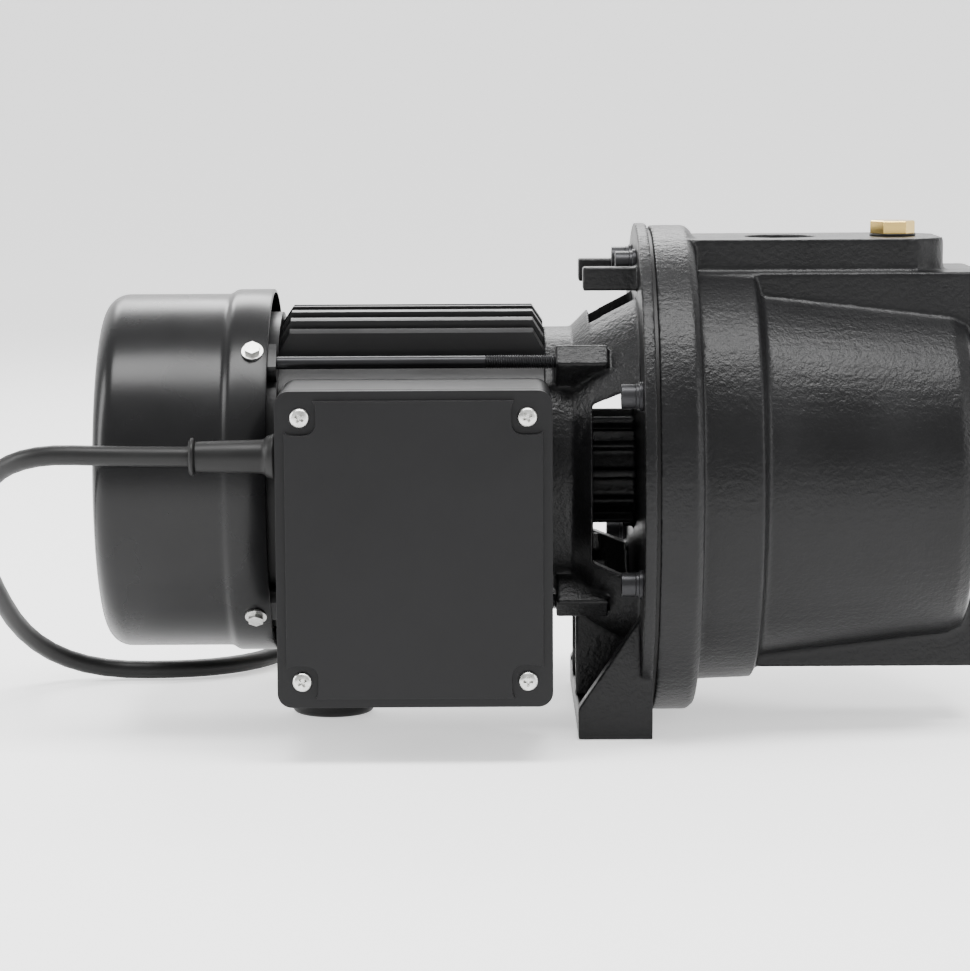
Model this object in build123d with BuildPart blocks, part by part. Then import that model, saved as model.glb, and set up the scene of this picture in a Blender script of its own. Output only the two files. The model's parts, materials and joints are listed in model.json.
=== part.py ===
from build123d import *
import math
import os

# Shallow well jet pump. Millimetres, X along the shaft towards the suction port,
# Y away from the terminal box, Z up, origin on the floor at the middle of the foot bolts.

# ---- overall sizes ----
AXIS_Z = 108.0  # shaft height above the floor
FRAME_LEN = 113.0  # motor frame length
FRAME_END = -29.0  # pump end of the motor frame
FRAME_R = 60.0  # frame body
FIN_R = 72.0  # fin tips
CORE_R = 55.0  # stator core outside, frame bore
COVER_R = 77.0  # fan cover
LIP_R = 79.0  # fan cover rim
COVER_LEN = 73.5
COVER_CORNER = 10.0
SHEET = 1.4
FLANGE_R = 107.0  # bracket flange
FLANGE_T = 5.0
FLANGE_X = 11.0  # motor side of the flange
CASE_R = 106.0
CASE_RING = 18.0
CASE_END = 153.0  # front of the drum
NOSE_END = 172.0  # end of the suction boss
DECK_Z = 209.0
FOOT_HALF = 68.0
FOOT_BACK = -15.5
SLOT_Y = 44.5  # foot bolt from the middle
SLOT_R = 4.5
SLOT_LEN = 16.0
BOX_H = 129.6
BOX_W = 112.4
BOX_LEFT = -139.4
BOX_BOTTOM = 23.4
BOX_FACE = -118.0
BOX_BACK = -62.0
LID_T = 9.0
WALL = 2.5
PORT_R = 15.2  # 1 in threaded port, at the thread roots of the bore

# ---- fits ----
RUN_GAP = 0.35  # air gap and seal ring clearance
FIT = 0.0  # pressed or seated faces
THREAD_GAP = 0.05  # plugs in their holes

# ---- bearings, shaft, screws ----
BRG_R = 20.0
BRG_W = 12.0
SHAFT_R = 8.5
ROD_AT = 51.0  # tie rod from the shaft, across and up
ROD_R = 2.675
ROD_THREAD_R = 3.0
BOLT_R = 3.0
BOLT_CIRCLE = 93.0
CORD_D = 8.4
CORD_Z = 124.0
CORD_Y = -92.0
GLAND_R = 7.0
PLUG_X = 123.6  # priming plug
PORT_X = 74.6  # discharge port
DRAIN_DROP = 65.0  # drain plug below the shaft

FRAME_BACK = FRAME_END - FRAME_LEN
RING_X = FLANGE_X + FLANGE_T
CASE_X = RING_X + 1.5
COVER_FRONT = FRAME_BACK - 3.5
COVER_BACK = COVER_FRONT - COVER_LEN
BOX_RIGHT = BOX_LEFT + BOX_W
BOX_TOP = BOX_BOTTOM + BOX_H
LID_BACK = BOX_FACE + LID_T
SEAT_Y = BOX_BACK + 1.0
BRG_FRONT = FRAME_END + 1.0
BRG_REAR = FRAME_BACK - 14.5
CORE_BACK = FRAME_BACK + 17.0
CORE_FRONT = CORE_BACK + 65.0
AIR_R = 31.0
BOX_MID_X = (BOX_LEFT + BOX_RIGHT) / 2
BOX_MID_Z = (BOX_BOTTOM + BOX_TOP) / 2

SHAFT = Plane(origin=(0, 0, AXIS_Z), x_dir=(0, 1, 0), z_dir=(1, 0, 0))
PROFILE = Plane(origin=(0, 0, AXIS_Z), x_dir=(1, 0, 0), z_dir=(0, -1, 0))
SHAFT_AXIS = Axis((0, 0, AXIS_Z), (1, 0, 0))
BOLT_ANGLES = (25.0, 77.5, 102.5, 155.0, 205.0, 257.5, 282.5, 335.0)


def turned(points, mode=Mode.ADD, radius=0.0):
    """Closed outline of (x, radius) points revolved about the shaft, corners rounded."""
    with BuildSketch(PROFILE, mode=Mode.PRIVATE) as outline:
        with BuildLine():
            if radius > 0:
                FilletPolyline(*points, radius=radius, close=True)
            else:
                Polyline(*points, close=True)
        make_face()
    revolve(outline.sketch, axis=SHAFT_AXIS, mode=mode)


def ring(x0, x1, outer, inner, mode=Mode.ADD):
    turned([(x0, inner), (x1, inner), (x1, outer), (x0, outer)], mode)


def block(x0, x1, y0, y1, z0, z1, mode=Mode.ADD):
    with Locations(((x0 + x1) / 2, (y0 + y1) / 2, (z0 + z1) / 2)):
        Box(abs(x1 - x0), abs(y1 - y0), abs(z1 - z0), mode=mode)


def rod_x(x0, x1, y, z, radius, mode=Mode.ADD):
    """Cylinder along X."""
    with BuildSketch(Plane.YZ.offset(x0), mode=Mode.PRIVATE) as end:
        with Locations((y, z)):
            Circle(radius)
    extrude(end.sketch, amount=x1 - x0, mode=mode)


def rod_y(y0, y1, x, z, radius, mode=Mode.ADD):
    """Cylinder along Y."""
    with BuildSketch(Plane.XZ.offset(-y0), mode=Mode.PRIVATE) as end:
        with Locations((x, z)):
            Circle(radius)
    extrude(end.sketch, amount=-(y1 - y0), mode=mode)


def rod_z(z0, z1, x, y, radius, mode=Mode.ADD):
    """Cylinder along Z."""
    with BuildSketch(Plane.XY.offset(z0), mode=Mode.PRIVATE) as end:
        with Locations((x, y)):
            Circle(radius)
    extrude(end.sketch, amount=z1 - z0, mode=mode)


def at_angle(radius, angle):
    """(y, z) of a point about the shaft."""
    turn = math.radians(angle)
    return radius * math.cos(turn), AXIS_Z + radius * math.sin(turn)


def plate_y(y0, y1, x0, x1, z0, z1, corner, mode=Mode.ADD):
    """Rounded rectangle in XZ, from y0 to y1."""
    with BuildSketch(Plane.XZ.offset(-y0), mode=Mode.PRIVATE) as face:
        with Locations(((x0 + x1) / 2, (z0 + z1) / 2)):
            RectangleRounded(x1 - x0, z1 - z0, corner)
    extrude(face.sketch, amount=-(y1 - y0), mode=mode)


def ends(sign_list=(1, -1)):
    return [(a * ROD_AT, AXIS_Z + b * ROD_AT) for a in sign_list for b in sign_list]


# ================= motor =================
with BuildPart() as motor_frame:
    with BuildSketch(SHAFT.offset(FRAME_BACK)) as section:
        for row in (-34.5, -25.0, -15.0, -5.0, 5.0, 15.0, 25.0, 34.5):
            with Locations((row, 0)):
                Rectangle(3.2, 2 * FIN_R)
            with Locations((0, row)):
                Rectangle(2 * FIN_R, 3.2)
        Circle(FIN_R, mode=Mode.INTERSECT)
        Circle(FRAME_R)
        Circle(CORE_R - FIT, mode=Mode.SUBTRACT)
    extrude(amount=FRAME_LEN)
    turned(
        [
            (FRAME_BACK, 0),
            (FRAME_END, 0),
            (FRAME_END, FIN_R - 7),
            (FRAME_END - 5, FIN_R + 0.5),
            (FRAME_BACK + 5, FIN_R + 0.5),
            (FRAME_BACK, FIN_R - 7),
        ],
        Mode.INTERSECT,
    )
    block(FRAME_BACK - 1, FRAME_END + 1, -80, SEAT_Y, AXIS_Z - 90, AXIS_Z + 46, Mode.SUBTRACT)
    block(FRAME_BACK + 14, FRAME_END - 12, SEAT_Y, -45, AXIS_Z - 36, AXIS_Z + 27)
    block(FRAME_BACK + 4, FRAME_BACK + 36, -16, 16, AXIS_Z - FIN_R, AXIS_Z - 55)
    ring(FRAME_BACK, FRAME_END, CORE_R - FIT, 0, Mode.SUBTRACT)
    rod_y(SEAT_Y - 1, -40, BOX_MID_X, AXIS_Z - 8, 9.0, Mode.SUBTRACT)
    for x, z in ((BOX_MID_X - 26, AXIS_Z - 24), (BOX_MID_X + 26, AXIS_Z + 14)):
        rod_y(SEAT_Y, SEAT_Y + 5, x, z, 2.0, Mode.SUBTRACT)
    rod_z(AXIS_Z - FIN_R, AXIS_Z - CORE_R - 1.5, FRAME_BACK + 20, 0, 2.5, Mode.SUBTRACT)

SHIELD_X = FRAME_BACK - 8.0
with BuildPart() as rear_shield:
    with BuildSketch(SHAFT.offset(SHIELD_X)) as plate:
        Circle(69.0)
    extrude(amount=8.0)
    for y, z in ends():
        rod_x(SHIELD_X - 7, FRAME_BACK, y, z, 8.0)
    ring(SHIELD_X - 20, FRAME_BACK, 110, LIP_R - SHEET - 0.2, Mode.SUBTRACT)
    ring(SHIELD_X - 10, FRAME_BACK, BRG_R + 6.5, BRG_R)
    ring(SHIELD_X - 10, FRAME_BACK, BRG_R, 0, Mode.SUBTRACT)
    ring(SHIELD_X - 10, BRG_REAR - 1.5, BRG_R + 1, 13.0)
    ring(FRAME_BACK, FRAME_BACK + 4, CORE_R - 0.05, CORE_R - 5)
    for turn in range(6):
        y, z = at_angle(44, 60 * turn + 30)
        rod_x(SHIELD_X - 1, FRAME_BACK + 1, y, z, 7.0, Mode.SUBTRACT)
    for y, z in ends():
        rod_x(SHIELD_X - 20, FRAME_BACK + 1, y, z, ROD_R + FIT, Mode.SUBTRACT)

with BuildPart() as stator_core:
    ring(CORE_BACK, CORE_FRONT, CORE_R - FIT, AIR_R)
    with BuildSketch(SHAFT.offset(CORE_BACK)) as slots:
        with PolarLocations(39.5, 24):
            Rectangle(13.0, 5.0)
    extrude(amount=CORE_FRONT - CORE_BACK, mode=Mode.SUBTRACT)

with BuildPart() as stator_windings:
    ring(FRAME_BACK + 5, CORE_BACK, 48.0, 33.5)
    ring(CORE_FRONT, CORE_FRONT + 16, 48.0, 33.5)
    with BuildSketch(SHAFT.offset(CORE_BACK - 2)) as slots:
        with PolarLocations(39.5, 24):
            Rectangle(13.0 - 0.2, 5.0 - 0.2)
    extrude(amount=CORE_FRONT - CORE_BACK + 4)

with BuildPart() as rotor_core:
    ring(CORE_BACK, CORE_FRONT, AIR_R - RUN_GAP, 11.0)
    with BuildSketch(SHAFT.offset(CORE_BACK)) as bars:
        with PolarLocations(26.5, 20):
            Circle(2.0)
    extrude(amount=CORE_FRONT - CORE_BACK, mode=Mode.SUBTRACT)

with BuildPart() as rotor_cage:
    ring(CORE_BACK - 7, CORE_BACK, AIR_R - RUN_GAP - 0.4, 20.0)
    ring(CORE_FRONT, CORE_FRONT + 7, AIR_R - RUN_GAP - 0.4, 20.0)
    with BuildSketch(SHAFT.offset(CORE_BACK - 1)) as bars:
        with PolarLocations(26.5, 20):
            Circle(2.0)
    extrude(amount=CORE_FRONT - CORE_BACK + 2)
    for x in (CORE_BACK - 13, CORE_FRONT + 6):
        with BuildSketch(SHAFT.offset(x)) as blades:
            with PolarLocations(25.0, 8):
                Rectangle(7.0, 2.0)
        extrude(amount=7.0)

SHAFT_TAIL = COVER_BACK + 17.0
IMPELLER_X = RING_X + 6.0
NUT_X = IMPELLER_X + 12.0
with BuildPart() as motor_shaft:
    turned(
        [
            (SHAFT_TAIL, 0),
            (SHAFT_TAIL, 6.0),
            (BRG_REAR - 4, 6.0),
            (BRG_REAR - 4, SHAFT_R),
            (BRG_REAR + BRG_W, SHAFT_R),
            (BRG_REAR + BRG_W, 11.0),
            (BRG_FRONT, 11.0),
            (BRG_FRONT, SHAFT_R),
            (BRG_FRONT + BRG_W + 2, SHAFT_R),
            (BRG_FRONT + BRG_W + 2, 8.0),
            (NUT_X, 8.0),
            (NUT_X, 5.0),
            (NUT_X + 10, 5.0),
            (NUT_X + 10, 0),
        ]
    )
    block(IMPELLER_X + 1, NUT_X, -2.5, 2.5, AXIS_Z + 5.5, AXIS_Z + 9, Mode.SUBTRACT)

with BuildPart() as rear_bearing_outer:
    ring(BRG_REAR, BRG_REAR + BRG_W, BRG_R - FIT, 18.0)
with BuildPart() as front_bearing_outer:
    ring(BRG_FRONT, BRG_FRONT + BRG_W, BRG_R - FIT, 18.0)

with BuildPart() as rear_bearing_inner:
    ring(BRG_REAR, BRG_REAR + BRG_W, 11.6, SHAFT_R + FIT)
    ring(BRG_REAR + 4, BRG_REAR + 8, 15.2, 11.0)
    for turn in range(8):
        y, z = at_angle(14.2, 45 * turn)
        with Locations((BRG_REAR + BRG_W / 2, y, z)):
            Sphere(3.4)

with BuildPart() as front_bearing_inner:
    ring(BRG_FRONT, BRG_FRONT + BRG_W, 11.6, SHAFT_R + FIT)
    ring(BRG_FRONT + 4, BRG_FRONT + 8, 15.2, 11.0)
    for turn in range(8):
        y, z = at_angle(14.2, 45 * turn)
        with Locations((BRG_FRONT + BRG_W / 2, y, z)):
            Sphere(3.4)

with BuildPart() as wave_washer:
    ring(BRG_REAR - 1.5, BRG_REAR, 19.5, 15.5)

FAN_X = SHAFT_TAIL + 2.0
with BuildPart() as cooling_fan:
    ring(FAN_X, FAN_X + 24, 13.0, 6.0 + FIT)
    turned([(FAN_X + 20, 12), (FAN_X + 24, 12), (FAN_X + 18, 64), (FAN_X + 16, 64)])
    with BuildSketch(SHAFT.offset(FAN_X)) as blades:
        with PolarLocations(38.0, 8):
            Rectangle(52.0, 2.2)
    extrude(amount=19.0)

with BuildPart() as fan_clip:
    ring(FAN_X - 1.4, FAN_X, 9.5, 6.0 + FIT)

with BuildPart() as fan_cover:
    step = COVER_FRONT - 16.5
    with BuildSketch(PROFILE) as shell:
        with BuildLine():
            FilletPolyline(
                (COVER_BACK, 0),
                (COVER_BACK, COVER_R),
                (step - 3, COVER_R),
                (step, LIP_R),
                (COVER_FRONT, LIP_R),
                (COVER_FRONT, LIP_R - SHEET),
                (step + 0.6, LIP_R - SHEET),
                (step - 2.4, COVER_R - SHEET),
                (COVER_BACK + SHEET, COVER_R - SHEET),
                (COVER_BACK + SHEET, 0),
                radius=[COVER_CORNER, 1.5, 1.5, 0, 0, 1.5, 1.5, COVER_CORNER - SHEET],
            )
            Line((COVER_BACK + SHEET, 0), (COVER_BACK, 0))
        make_face()
    revolve(axis=SHAFT_AXIS)
    with BuildSketch(SHAFT.offset(COVER_BACK - 1)) as grille:
        for radius, count, length in ((22.0, 12, 12.0), (40.0, 24, 14.0), (57.0, 32, 12.0)):
            with PolarLocations(radius, count):
                SlotOverall(length, 4.2)
    extrude(amount=4.0, mode=Mode.SUBTRACT)
    for a in (45, 135, 225, 315):
        y, z = at_angle(1.0, a)
        spoke = Plane(origin=(COVER_FRONT - 6.4, 0, AXIS_Z), z_dir=(0, y, z - AXIS_Z))
        with BuildSketch(spoke.offset(70)) as hole:
            Circle(2.2)
        extrude(amount=14, mode=Mode.SUBTRACT)

with BuildPart() as cover_screws:
    for a in (45, 135, 225, 315):
        y, z = at_angle(1.0, a)
        spoke = Plane(origin=(COVER_FRONT - 6.4, 0, AXIS_Z), z_dir=(0, y, z - AXIS_Z))
        with BuildSketch(spoke.offset(LIP_R - SHEET - 1.9)) as shank:
            Circle(2.0)
        extrude(amount=4.0)
        with BuildSketch(spoke.offset(LIP_R)) as washer:
            Circle(4.6)
        extrude(amount=1.2)
        with BuildSketch(spoke.offset(LIP_R + 0.9)) as head:
            RegularPolygon(3.5, 6)
        extrude(amount=2.6)
with BuildPart(mode=Mode.PRIVATE) as screw_tips:
    for a in (45, 135, 225, 315):
        y, z = at_angle(1.0, a)
        spoke = Plane(origin=(COVER_FRONT - 6.4, 0, AXIS_Z), z_dir=(0, y, z - AXIS_Z))
        with BuildSketch(spoke.offset(LIP_R - SHEET - 1.9)) as tip:
            Circle(2.0)
        extrude(amount=3.0)
rear_shield.part = rear_shield.part - screw_tips.part

with BuildPart() as tie_rods:
    for y, z in ends():
        rod_x(SHIELD_X - 7, -54, y, z, ROD_R)
        rod_x(-54, -4, y, z, ROD_THREAD_R)
        rod_x(SHIELD_X - 11, SHIELD_X - 7, y, z, 5.0)

with BuildPart() as support_foot:
    turn_x = FRAME_BACK + 20
    rod_z(0, AXIS_Z - FIN_R, turn_x, 0, 18.0)
    fillet(support_foot.edges().filter_by(GeomType.CIRCLE), 2.5)
    rod_z(0, 8, turn_x, 0, 6.0, Mode.SUBTRACT)
    rod_z(0, AXIS_Z, turn_x, 0, 2.5, Mode.SUBTRACT)
with BuildPart() as support_foot_screw:
    rod_z(3.5, 8, turn_x, 0, 4.5)
    rod_z(7, AXIS_Z - CORE_R - 2, turn_x, 0, 2.5)

# ================= terminal box =================
with BuildPart() as terminal_box:
    plate_y(LID_BACK, BOX_BACK, BOX_LEFT, BOX_RIGHT, BOX_BOTTOM, BOX_TOP, 6.0)
    plate_y(
        LID_BACK - 1,
        BOX_BACK - WALL,
        BOX_LEFT + WALL,
        BOX_RIGHT - WALL,
        BOX_BOTTOM + WALL,
        BOX_TOP - WALL,
        4.0,
        Mode.SUBTRACT,
    )
    for x in (BOX_MID_X - 46, BOX_MID_X + 46):
        for z in (BOX_MID_Z - 54, BOX_MID_Z + 54):
            rod_y(LID_BACK, BOX_BACK, x, z, 6.0)
            side = 1 if x > BOX_MID_X else -1
            block(x, x + side * 8.5, LID_BACK, BOX_BACK, z - 3, z + 3)
    for x in (BOX_MID_X - 46, BOX_MID_X + 46):
        for z in (BOX_MID_Z - 54, BOX_MID_Z + 54):
            rod_y(LID_BACK - 1, LID_BACK + 12, x, z, 2.0, Mode.SUBTRACT)
    rod_x(BOX_LEFT - 1, BOX_LEFT + WALL + 1, CORD_Y, CORD_Z, GLAND_R + FIT, Mode.SUBTRACT)
    rod_y(BOX_BACK - WALL - 1, BOX_BACK, BOX_MID_X, AXIS_Z - 8, 9.0, Mode.SUBTRACT)
    for x, z in ((BOX_MID_X - 26, AXIS_Z - 24), (BOX_MID_X + 26, AXIS_Z + 14)):
        rod_y(BOX_BACK - WALL - 1, BOX_BACK, x, z, 2.0, Mode.SUBTRACT)

with BuildPart() as box_gasket:
    plate_y(BOX_BACK, SEAT_Y, FRAME_BACK + 18, FRAME_END - 16, AXIS_Z - 34, AXIS_Z + 25, 3.0)
    rod_y(BOX_BACK, SEAT_Y, BOX_MID_X, AXIS_Z - 8, 9.0, Mode.SUBTRACT)
    for x, z in ((BOX_MID_X - 26, AXIS_Z - 24), (BOX_MID_X + 26, AXIS_Z + 14)):
        rod_y(BOX_BACK, SEAT_Y, x, z, 2.0, Mode.SUBTRACT)

with BuildPart() as box_mount_screws:
    for x, z in ((BOX_MID_X - 26, AXIS_Z - 24), (BOX_MID_X + 26, AXIS_Z + 14)):
        rod_y(BOX_BACK - WALL - 3, BOX_BACK - WALL, x, z, 3.9)
        rod_y(BOX_BACK - WALL, SEAT_Y + 5, x, z, 2.0)

with BuildPart() as lid_gasket:
    plate_y(LID_BACK - 1, LID_BACK, BOX_LEFT + 0.6, BOX_RIGHT - 0.6, BOX_BOTTOM + 0.6, BOX_TOP - 0.6, 5.4)
    inner = (BOX_LEFT + 3.5, BOX_RIGHT - 3.5, BOX_BOTTOM + 3.5, BOX_TOP - 3.5)
    plate_y(LID_BACK - 1, LID_BACK, *inner, 3.0, Mode.SUBTRACT)
    for x in (BOX_MID_X - 46, BOX_MID_X + 46):
        for z in (BOX_MID_Z - 54, BOX_MID_Z + 54):
            rod_y(LID_BACK - 1, LID_BACK, x, z, 7.5)
            rod_y(LID_BACK - 1, LID_BACK, x, z, 2.0, Mode.SUBTRACT)

PANEL_Y = BOX_FACE + 2.2
with BuildPart() as terminal_box_lid:
    plate_y(PANEL_Y, LID_BACK - 1, BOX_LEFT, BOX_RIGHT, BOX_BOTTOM, BOX_TOP, 6.0)
    with BuildSketch(Plane.XZ.offset(-BOX_FACE)) as panel:
        with Locations((BOX_MID_X, BOX_MID_Z)):
            RectangleRounded(BOX_W - 8, BOX_H - 8, 2.5)
            for sx in (-1, 1):
                for sz in (-1, 1):
                    with Locations((sx * (BOX_W / 2 - 9.5), sz * (BOX_H / 2 - 10.0))):
                        RectangleRounded(14.5, 15.5, 5.0, mode=Mode.SUBTRACT)
                    with Locations((sx * (BOX_W / 2 - 2), sz * (BOX_H / 2 - 2))):
                        Rectangle(12, 12, mode=Mode.SUBTRACT)
    extrude(amount=-(PANEL_Y - BOX_FACE))
    hollow = (BOX_LEFT + 3, BOX_RIGHT - 3, BOX_BOTTOM + 14, BOX_TOP - 14)
    plate_y(PANEL_Y + 2.5, LID_BACK - 1, *hollow, 4.0, Mode.SUBTRACT)
    for x in (BOX_MID_X - 46, BOX_MID_X + 46):
        for z in (BOX_MID_Z - 54, BOX_MID_Z + 54):
            rod_y(PANEL_Y - 1, LID_BACK, x, z, 2.2, Mode.SUBTRACT)

with BuildPart() as lid_screws:
    for x in (BOX_MID_X - 46, BOX_MID_X + 46):
        for z in (BOX_MID_Z - 54, BOX_MID_Z + 54):
            rod_y(PANEL_Y - 2.4, PANEL_Y, x, z, 4.0)
            rod_y(PANEL_Y, LID_BACK + 11, x, z, 2.0)
            block(x - 2.2, x + 2.2, PANEL_Y - 3, PANEL_Y - 1.2, z - 0.45, z + 0.45, Mode.SUBTRACT)
            block(x - 0.45, x + 0.45, PANEL_Y - 3, PANEL_Y - 1.2, z - 2.2, z + 2.2, Mode.SUBTRACT)

INNER_BACK = BOX_BACK - WALL
with BuildPart() as terminal_block:
    block(BOX_MID_X - 40, BOX_MID_X - 8, INNER_BACK - 14, INNER_BACK, BOX_MID_Z + 18, BOX_MID_Z + 34)
    for x in (-34, -24, -14):
        rod_z(BOX_MID_Z + 26, BOX_MID_Z + 40, BOX_MID_X + x, INNER_BACK - 9, 3.0, Mode.SUBTRACT)
with BuildPart() as terminal_screws:
    for x in (-34, -24, -14):
        rod_z(BOX_MID_Z + 26, BOX_MID_Z + 34, BOX_MID_X + x, INNER_BACK - 9, 3.0)
        block(BOX_MID_X + x - 3, BOX_MID_X + x + 3, INNER_BACK - 9.6, INNER_BACK - 8.4,
              BOX_MID_Z + 33, BOX_MID_Z + 35, Mode.SUBTRACT)

CAP_X = BOX_MID_X + 28
with BuildPart() as capacitor:
    rod_z(BOX_BOTTOM + 19, BOX_TOP - 26, CAP_X, INNER_BACK - 22.5, 18.0)
    rod_z(BOX_TOP - 26, BOX_TOP - 23, CAP_X, INNER_BACK - 22.5, 14.0)
    for s in (-5, 5):
        block(CAP_X + s - 0.5, CAP_X + s + 0.5, INNER_BACK - 25, INNER_BACK - 19, BOX_TOP - 23, BOX_TOP - 16)
with BuildPart() as capacitor_clamp:
    rod_z(BOX_MID_Z - 22, BOX_MID_Z - 10, CAP_X, INNER_BACK - 22.5, 19.0)
    rod_z(BOX_MID_Z - 22, BOX_MID_Z - 10, CAP_X, INNER_BACK - 22.5, 18.0, Mode.SUBTRACT)
    block(CAP_X - 20, CAP_X - 15, INNER_BACK - 12, INNER_BACK, BOX_MID_Z - 22, BOX_MID_Z - 10)
    rod_z(BOX_MID_Z - 22, BOX_MID_Z - 10, CAP_X, INNER_BACK - 22.5, 18.0, Mode.SUBTRACT)

with BuildPart() as strain_relief:
    rod_x(BOX_LEFT - 4, BOX_LEFT, CORD_Y, CORD_Z, 9.0)
    rod_x(BOX_LEFT, BOX_LEFT + 9, CORD_Y, CORD_Z, GLAND_R)
    with BuildSketch(Plane.YZ.offset(BOX_LEFT - 4)) as wide:
        with Locations((CORD_Y, CORD_Z)):
            Circle(7.2)
    with BuildSketch(Plane.YZ.offset(BOX_LEFT - 34)) as narrow:
        with Locations((CORD_Y, CORD_Z)):
            Circle(6.5)
    loft()
    rod_x(BOX_LEFT - 36.6, BOX_LEFT - 34, CORD_Y, CORD_Z, 7.6)
    rod_x(BOX_LEFT - 40, BOX_LEFT + 10, CORD_Y, CORD_Z, CORD_D / 2, Mode.SUBTRACT)
with BuildPart() as gland_nut:
    with BuildSketch(Plane.YZ.offset(BOX_LEFT + WALL)) as hexagon:
        with Locations((CORD_Y, CORD_Z)):
            RegularPolygon(10.5, 6)
            Circle(GLAND_R, mode=Mode.SUBTRACT)
    extrude(amount=5.0)

# ================= bracket =================
HUB_R = 22.0
with BuildPart() as motor_bracket:
    ring(FRAME_END, FRAME_END + 13, 62.0, 47.0)
    ring(FRAME_END - 4, FRAME_END, CORE_R - 0.05, 50.0)
    ring(FRAME_END, FRAME_END + 7, 50.0, 20.0)
    turned(
        [
            (-17, 62),
            (-9, 70),
            (FLANGE_X, 80),
            (FLANGE_X + 1, 80),
            (FLANGE_X + 1, 71),
            (-9, 62),
            (-17, 54),
        ]
    )
    for side in (-1, 1):
        with BuildSketch(Plane.XZ.offset(-side * 40)) as window:
            with BuildLine():
                Polyline(
                    (-9, AXIS_Z - 33.5),
                    (FLANGE_X, AXIS_Z - 42),
                    (FLANGE_X, AXIS_Z + 42),
                    (-9, AXIS_Z + 33.5),
                    close=True,
                )
            make_face()
        extrude(amount=-side * 50, mode=Mode.SUBTRACT)
    block(-9, FLANGE_X, -24, 24, AXIS_Z + 45, AXIS_Z + 90, Mode.SUBTRACT)
    block(-9, FLANGE_X, -24, 24, AXIS_Z - 90, AXIS_Z - 45, Mode.SUBTRACT)
    for y, z in ends():
        angle = math.degrees(math.atan2(z - AXIS_Z, y))
        with BuildSketch(SHAFT.offset(-24.4)) as lug:
            with Locations(Location((0, 0, 0), (0, 0, angle))):
                with Locations((65.5, 0)):
                    Rectangle(23, 11)
        extrude(amount=22.0)
    ring(FRAME_END - 1, FRAME_END + 13, 47.0, 26.0, Mode.SUBTRACT)
    ring(FRAME_END, FRAME_END + 7, 50.0, 24.0)
    ring(FRAME_END, FLANGE_X, HUB_R, 13.0)
    for turn in range(12):
        with BuildSketch(SHAFT.offset(FRAME_END + 5)) as rib:
            with Locations(Location((0, 0, 0), (0, 0, 30 * turn))):
                with Locations((HUB_R, 0)):
                    Rectangle(8, 3.5)
        extrude(amount=FLANGE_X - FRAME_END - 4)
    ring(FLANGE_X, RING_X, FLANGE_R, 12.0)
    for side in (-1, 1):
        block(-12.4, FLANGE_X, side * 34 - 5, side * 34 + 5, AXIS_Z + 80, AXIS_Z + 90)
    # foot
    block(FLANGE_X, RING_X, -FOOT_HALF, FOOT_HALF, 0, 52)
    block(FOOT_BACK, RING_X, -FOOT_HALF, FOOT_HALF, 0, 12)
    block(FOOT_BACK, FLANGE_X, -29, 29, 0, AXIS_Z - 58)
    for side in (-1, 1):
        with BuildSketch(Plane.XZ.offset(side * FOOT_HALF)) as gusset:
            with BuildLine():
                Polyline((FOOT_BACK, 0), (RING_X, 0), (RING_X, 52), (FLANGE_X, 52), (FOOT_BACK, 13), close=True)
            make_face()
        extrude(amount=-side * 9)
    # pedestal hollow, open to the motor side
    block(FOOT_BACK, FLANGE_X, -23, 23, 12, AXIS_Z - 64, Mode.SUBTRACT)
    # bores
    ring(FRAME_END - 1, BRG_FRONT + BRG_W, BRG_R, 0, Mode.SUBTRACT)
    ring(BRG_FRONT + BRG_W, RING_X + 1, 13.0, 0, Mode.SUBTRACT)
    ring(2, RING_X + 1, 15.5, 0, Mode.SUBTRACT)
    ring(8, RING_X + 1, 19.0, 0, Mode.SUBTRACT)
    for y, z in ends():
        rod_x(-30, -4, y, z, ROD_THREAD_R, Mode.SUBTRACT)
    for a in BOLT_ANGLES:
        y, z = at_angle(BOLT_CIRCLE, a)
        rod_x(FLANGE_X - 1, RING_X + 1, y, z, BOLT_R, Mode.SUBTRACT)
    for a in (257.5, 282.5):
        y, z = at_angle(BOLT_CIRCLE, a)
        rod_x(FOOT_BACK - 1, FLANGE_X, y, z, 6.8, Mode.SUBTRACT)
    for side in (-1, 1):
        with BuildSketch() as slot:
            with Locations((0, side * SLOT_Y)):
                SlotOverall(SLOT_LEN, 2 * SLOT_R, rotation=90)
        extrude(amount=12, mode=Mode.SUBTRACT)
    block(-8, 6, -5, 5, AXIS_Z - 40, AXIS_Z - 10, Mode.SUBTRACT)

with BuildPart() as flange_gasket:
    ring(RING_X, CASE_X, CASE_R - 2, 86.0)
    for a in BOLT_ANGLES:
        y, z = at_angle(BOLT_CIRCLE, a)
        rod_x(RING_X, CASE_X, y, z, BOLT_R, Mode.SUBTRACT)

with BuildPart() as flange_screws:
    for a in BOLT_ANGLES:
        y, z = at_angle(BOLT_CIRCLE, a)
        rod_x(FLANGE_X - 3, CASE_X + 13, y, z, BOLT_R)
        rod_x(FLANGE_X - 9, FLANGE_X - 3, y, z, 5.0)
        with BuildSketch(Plane.YZ.offset(FLANGE_X - 9)) as socket:
            with Locations((y, z)):
                RegularPolygon(2.85, 6)
        extrude(amount=3.2, mode=Mode.SUBTRACT)
with BuildPart() as flange_washers:
    for a in BOLT_ANGLES:
        y, z = at_angle(BOLT_CIRCLE, a)
        rod_x(FLANGE_X - 1.6, FLANGE_X, y, z, 6.0)
        rod_x(FLANGE_X - 3, FLANGE_X - 1.6, y, z, 5.2)
        rod_x(FLANGE_X - 3, FLANGE_X, y, z, BOLT_R, Mode.SUBTRACT)

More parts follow.
